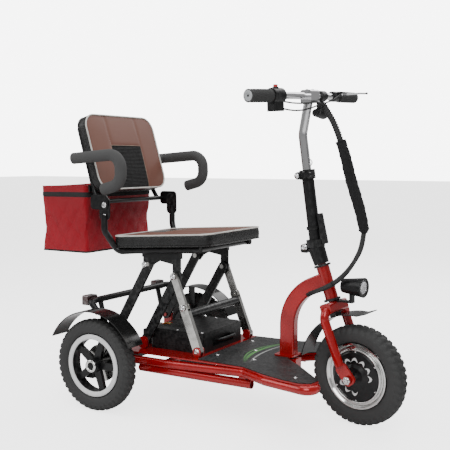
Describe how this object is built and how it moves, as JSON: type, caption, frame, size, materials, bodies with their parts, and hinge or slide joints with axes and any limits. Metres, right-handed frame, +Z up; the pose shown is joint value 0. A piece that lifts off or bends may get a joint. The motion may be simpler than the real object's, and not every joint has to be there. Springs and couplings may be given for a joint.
{
  "type": "folding three-wheeled electric mobility scooter",
  "caption": "Folding three-wheeled electric scooter with a padded seat on a linkage, a foot deck, a folding stem, a rear basket and a hub-motor front wheel.",
  "frame": {"origin": "on the ground at the middle of the footprint", "axes": "+X forward, +Y to the rider's left, +Z up"},
  "size_m": [1.3056, 0.686, 1.0547],
  "materials": {
    "red_paint": "glossy candy red",
    "chrome": "polished",
    "deck_rubber": "diamond texture",
    "black_metal": "satin powder coat",
    "black_plastic": "matte",
    "gloss_black_plastic": "gloss",
    "lamp_plastic": "dark red lens",
    "steel": "brushed",
    "lens": "clear",
    "cable_rubber": "matte",
    "tyre_rubber": "matte",
    "polished_aluminium": "polished",
    "grip_rubber": "ribbed",
    "sleeve_fabric": "woven",
    "red_plastic": "gloss",
    "brown_leather": "glossy, quilted",
    "arm_foam": "matte foam",
    "red_fabric": "nylon"
  },
  "bodies": {
    "frame": {"side_rails": "red_paint", "under_frame": "red_paint", "gooseneck": "red_paint", "head_tube": "red_paint", "headset_cups": "chrome", "deck_plate": "red_paint", "deck_mat": "deck_rubber", "rear_axle_beam": "black_metal", "brake_calipers": "black_metal", "battery_case": "black_plastic", "battery_lid": "black_plastic", "controller_box": "black_plastic", "rear_fenders": "gloss_black_plastic", "rear_bumper": "black_metal", "tail_lamps": "lamp_plastic", "link_lugs": "red_paint"},
    "steering": {"fork_crown": "red_paint", "fork_legs": "red_paint", "front_axle": "steel", "front_fender": "gloss_black_plastic", "headlamp_shell": "black_plastic", "headlamp_lens": "lens", "stem_socket": "black_metal", "harness_lower": "cable_rubber"},
    "front_wheel": {"front_tyre": "tyre_rubber", "front_rim": "polished_aluminium", "hub_motor_case": "black_metal"},
    "rear_wheel_right": {"rear_tyre_right": "tyre_rubber", "rear_wheel_right": "polished_aluminium", "brake_disc_right": "steel"},
    "rear_wheel_left": {"rear_tyre_left": "tyre_rubber", "rear_wheel_left": "polished_aluminium", "brake_disc_left": "steel"},
    "stem": {"stem_tube": "black_metal", "stem_clamp": "black_metal"},
    "fold_latch": {"fold_latch": "black_plastic"},
    "clamp_lever": {"clamp_lever": "black_plastic"},
    "handlebar": {"bar_post": "steel", "handlebar": "chrome", "throttle_housing": "black_plastic", "left_grip": "grip_rubber", "bar_fittings": "black_plastic", "harness_upper": "sleeve_fabric"},
    "throttle": {"throttle_grip": "grip_rubber"},
    "brake_lever": {"brake_lever": "chrome"},
    "power_button": {"power_button": "red_plastic"},
    "front_links": {"front_links": "black_metal"},
    "rear_links": {"rear_links": "black_metal"},
    "seat_carrier": {"seat_brackets": "black_metal", "pivot_bolts": "steel", "seat_frame": "black_metal", "seat_cushion": "brown_leather"},
    "strut_lower": {"strut_lower": "steel", "release_bar": "black_metal"},
    "strut_upper": {"strut_upper": "steel"},
    "backrest": {"backrest_frame": "black_metal", "backrest_cushion": "brown_leather"},
    "armrest_right": {"armrest_right": "arm_foam"},
    "armrest_left": {"armrest_left": "arm_foam"},
    "basket": {"basket": "red_fabric"}
  },
  "joints": [
    {"name": "steering", "type": "hinge", "parent": "frame", "child": "steering", "pos_m": [0.38322, 0, 0.44], "axis": [-0.3156, 0, 0.9489], "range_deg": [-31, 49], "deforming": ["harness_lower"]},
    {"name": "front_wheel_spin", "type": "hinge", "parent": "steering", "child": "front_wheel", "pos_m": [0.49501, -0.00275, 0.15893], "axis": [0.1484, 0.9877, 0.0494], "continuous": true},
    {"name": "rear_wheel_right_spin", "type": "hinge", "parent": "frame", "child": "rear_wheel_right", "pos_m": [-0.30478, -0.306, 0.153], "axis": [0, 1, 0], "continuous": true},
    {"name": "rear_wheel_left_spin", "type": "hinge", "parent": "frame", "child": "rear_wheel_left", "pos_m": [-0.30478, 0.306, 0.153], "axis": [0, 1, 0], "continuous": true},
    {"name": "stem_fold", "type": "hinge", "parent": "steering", "child": "stem", "pos_m": [0.31162, 0.0053, 0.54913], "axis": [0.1484, 0.9877, 0.0494], "range_deg": [-66, 0], "deforming": ["harness_upper"]},
    {"name": "fold_latch_swing", "type": "hinge", "parent": "stem", "child": "fold_latch", "pos_m": [0.3771, -0.00552, 0.56876], "axis": [0.1484, 0.9877, 0.0494], "range_deg": [0, 35]},
    {"name": "bar_height", "type": "slide", "parent": "stem", "child": "handlebar", "axis": [-0.1242, -0.0309, 0.9918], "range_m": [-0.1, 0]},
    {"name": "clamp_lever_swing", "type": "hinge", "parent": "stem", "child": "clamp_lever", "pos_m": [0.30697, -0.05801, 0.77655], "axis": [0.1484, 0.9877, 0.0494], "range_deg": [-120, 0]},
    {"name": "throttle_twist", "type": "hinge", "parent": "handlebar", "child": "throttle", "pos_m": [0.26901, -0.29983, 1.00882], "axis": [-0.234, -0.9705, -0.0576], "range_deg": [0, 60], "stiffness_Nm_per_rad": 0.6},
    {"name": "brake_squeeze", "type": "hinge", "parent": "handlebar", "child": "brake_lever", "pos_m": [0.38254, 0.1176, 1.0371], "axis": [-0.0037, -0.0494, 0.9988], "range_deg": [0, 14], "stiffness_Nm_per_rad": 2},
    {"name": "power_button_press", "type": "slide", "parent": "handlebar", "child": "power_button", "axis": [0, 0, -1], "range_m": [0, 0.0025], "stiffness_N_per_m": 900},
    {"name": "seat_fold", "type": "hinge", "parent": "frame", "child": "front_links", "pos_m": [-0.22478, 0, 0.21], "axis": [0, -1, 0], "range_deg": [-38, 0]},
    {"name": "rear_link_swing", "type": "hinge", "parent": "frame", "child": "rear_links", "pos_m": [-0.33978, 0, 0.243], "axis": [0, -1, 0], "range_deg": [-38, 0]},
    {"name": "seat_level", "type": "hinge", "parent": "front_links", "child": "seat_carrier", "pos_m": [-0.08896, 0, 0.44335], "axis": [0, -1, 0], "range_deg": [0, 38]},
    {"name": "strut_swing", "type": "hinge", "parent": "frame", "child": "strut_lower", "pos_m": [0.00422, 0, 0.205], "axis": [0, -1, 0], "range_deg": [-79.34, 0]},
    {"name": "strut_knee", "type": "hinge", "parent": "strut_lower", "child": "strut_upper", "pos_m": [-0.04983, 0, 0.34325], "axis": [0, -1, 0], "range_deg": [0, 133.68]},
    {"name": "backrest_fold", "type": "hinge", "parent": "seat_carrier", "child": "backrest", "pos_m": [-0.34878, 0, 0.674], "axis": [0, 1, 0], "range_deg": [0, 100]},
    {"name": "armrest_right_lift", "type": "hinge", "parent": "backrest", "child": "armrest_right", "pos_m": [-0.42678, 0, 0.832], "axis": [0, 1, 0], "range_deg": [-95, 0]},
    {"name": "armrest_left_lift", "type": "hinge", "parent": "backrest", "child": "armrest_left", "pos_m": [-0.42678, 0, 0.832], "axis": [0, 1, 0], "range_deg": [-95, 0]},
    {"name": "basket_lift_off", "type": "slide", "parent": "backrest", "child": "basket", "axis": [-0.284, 0, 0.9588], "range_m": [0, 0.06]}
  ],
  "couplings": [
    {"joint": "rear_link_swing", "follows": "seat_fold", "ratio": 1},
    {"joint": "seat_level", "follows": "seat_fold", "ratio": -1},
    {"joint": "strut_swing", "follows": "seat_fold", "ratio": 2.0876},
    {"joint": "strut_knee", "follows": "seat_fold", "ratio": -3.5177}
  ]
}
